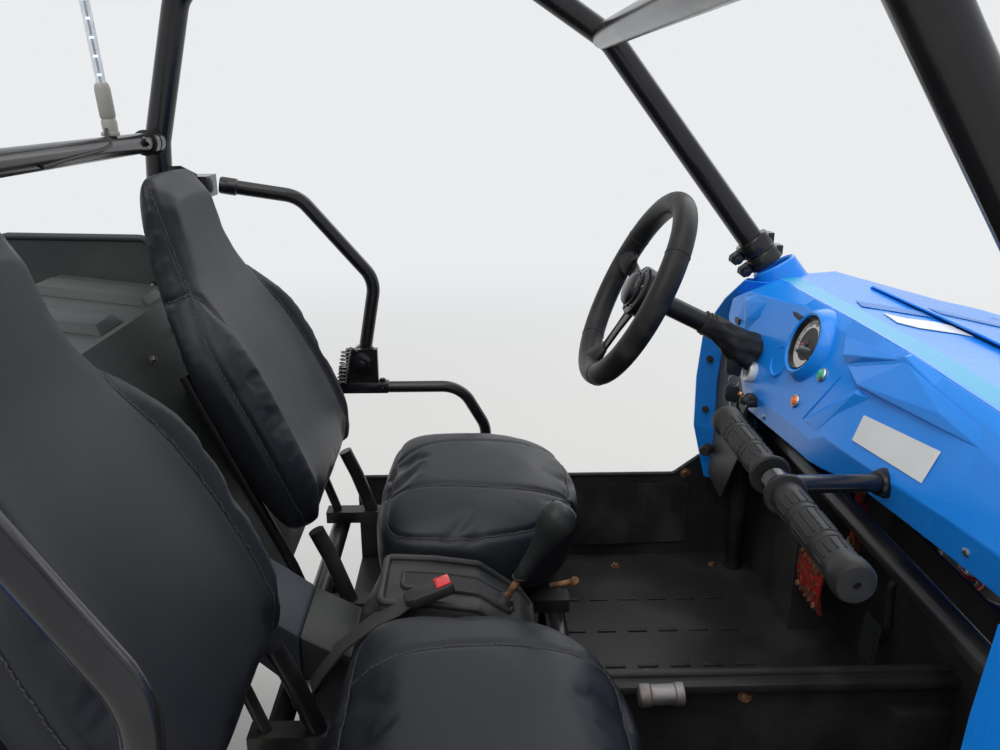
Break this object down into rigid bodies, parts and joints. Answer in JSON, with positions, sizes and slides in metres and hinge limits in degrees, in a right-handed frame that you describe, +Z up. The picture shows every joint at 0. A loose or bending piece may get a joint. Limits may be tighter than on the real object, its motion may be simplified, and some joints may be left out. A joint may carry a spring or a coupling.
{
  "type": "side by side utv",
  "caption": "Small two seat side by side utility vehicle with an open tube roll cage, blue body panels, black seats, cargo box and knobby tyres.",
  "frame": {"origin": "on the ground, at the middle of the overall length and width", "axes": "+X forward, +Y to the driver's (left) side, +Z up"},
  "size_m": [2.38, 1.27, 1.755],
  "materials": {
    "frame_black": "satin black paint, chipped and rusty at welds",
    "cage_black": "gloss black paint",
    "black_plastic": "scuffed dull black moulding",
    "blue_plastic": "glossy bright blue moulding",
    "grey_plastic": "dark grey textured moulding",
    "seat_vinyl": "black sewn vinyl, soft sheen",
    "black_knob": "worn black plastic",
    "grip_rubber": "black rubber grips on black tube",
    "red_paint": "red paint worn to rust",
    "lamp_lens": "clear lens",
    "red_lens": "red lens",
    "cast_metal": "cast, dusty",
    "muffler_steel": "heat stained steel",
    "spring_paint": "red coil springs on dark dampers",
    "gauge": "white dial in a grey bezel",
    "clear_tube": "clear tube on a grey foot",
    "wheel_rubber": "padded matt black rim with seams",
    "bright_steel": "plain steel",
    "rim_paint": "black painted steel",
    "tyre": "knobby black tyre"
  },
  "bodies": {
    "chassis": {"main_frame": "frame_black", "front_frame": "frame_black", "rear_frame": "frame_black", "roll_cage": "cage_black", "floor_pan": "black_plastic", "dash": "blue_plastic", "hood": "blue_plastic", "fenders_front": "blue_plastic", "fenders_rear": "blue_plastic", "cargo_box": "grey_plastic", "seat_cushion_left": "seat_vinyl", "seat_cushion_right": "seat_vinyl", "seat_back_left": "seat_vinyl", "seat_back_right": "seat_vinyl", "seat_frames": "frame_black", "console": "black_plastic", "gear_lever": "black_knob", "grab_handle": "grip_rubber", "pedals": "red_paint", "steering_column": "frame_black", "headlamps": "lamp_lens", "tail_lamps": "red_lens", "engine": "cast_metal", "muffler": "muffler_steel", "front_arms": "frame_black", "shock_absorbers": "spring_paint", "swing_arm": "frame_black", "hip_rails": "cage_black", "instruments": "gauge", "whip_light": "clear_tube", "front_bumper": "frame_black", "rack_housing": "cast_metal"},
    "steering_wheel": {"steering_wheel": "wheel_rubber"},
    "knuckle_left": {"knuckle_left": "cast_metal"},
    "knuckle_right": {"knuckle_right": "cast_metal"},
    "steering_rack": {"steering_rack": "bright_steel"},
    "wheel_front_left": {"tyre_front_left": "tyre", "rim_front_left": "rim_paint"},
    "wheel_front_right": {"tyre_front_right": "tyre", "rim_front_right": "rim_paint"},
    "rear_axle": {"rear_axle": "bright_steel", "tyres_rear": "tyre", "rims_rear": "rim_paint"},
    "guard_bar_left": {"guard_bar_left": "cage_black"},
    "guard_bar_right": {"guard_bar_right": "cage_black"}
  },
  "joints": [
    {"name": "knuckle_left_steer", "type": "hinge", "parent": "chassis", "child": "knuckle_left", "pos_m": [0.81, 0.48, 0.255], "axis": [0, 0, 1], "range_deg": [-28, 28]},
    {"name": "knuckle_right_steer", "type": "hinge", "parent": "chassis", "child": "knuckle_right", "pos_m": [0.81, -0.48, 0.255], "axis": [0, 0, 1], "range_deg": [-28, 28]},
    {"name": "steering_wheel_turn", "type": "hinge", "parent": "chassis", "child": "steering_wheel", "pos_m": [0.187, 0.29, 0.927], "axis": [-0.8988, 0, 0.4384], "range_deg": [-113, 113]},
    {"name": "rack_slide", "type": "slide", "parent": "chassis", "child": "steering_rack", "axis": [0, 1, 0], "range_m": [-0.043, 0.043]},
    {"name": "wheel_front_left_spin", "type": "hinge", "parent": "knuckle_left", "child": "wheel_front_left", "pos_m": [0.81, 0.546, 0.255], "axis": [0, 1, 0], "continuous": true},
    {"name": "wheel_front_right_spin", "type": "hinge", "parent": "knuckle_right", "child": "wheel_front_right", "pos_m": [0.81, -0.546, 0.255], "axis": [0, 1, 0], "continuous": true},
    {"name": "rear_axle_spin", "type": "hinge", "parent": "chassis", "child": "rear_axle", "pos_m": [-0.89, 0, 0.265], "axis": [0, 1, 0], "continuous": true},
    {"name": "guard_bar_left_swing", "type": "hinge", "parent": "chassis", "child": "guard_bar_left", "pos_m": [-0.277, 0.59, 0.73], "axis": [0, 1, 0], "range_deg": [0, 100]},
    {"name": "guard_bar_right_swing", "type": "hinge", "parent": "chassis", "child": "guard_bar_right", "pos_m": [-0.277, -0.59, 0.73], "axis": [0, 1, 0], "range_deg": [0, 100]}
  ],
  "couplings": [
    {"joint": "knuckle_right_steer", "follows": "knuckle_left_steer", "ratio": 1},
    {"joint": "steering_wheel_turn", "follows": "knuckle_left_steer", "ratio": 4},
    {"joint": "rack_slide", "follows": "knuckle_left_steer", "m_per_rad": -0.08646}
  ]
}
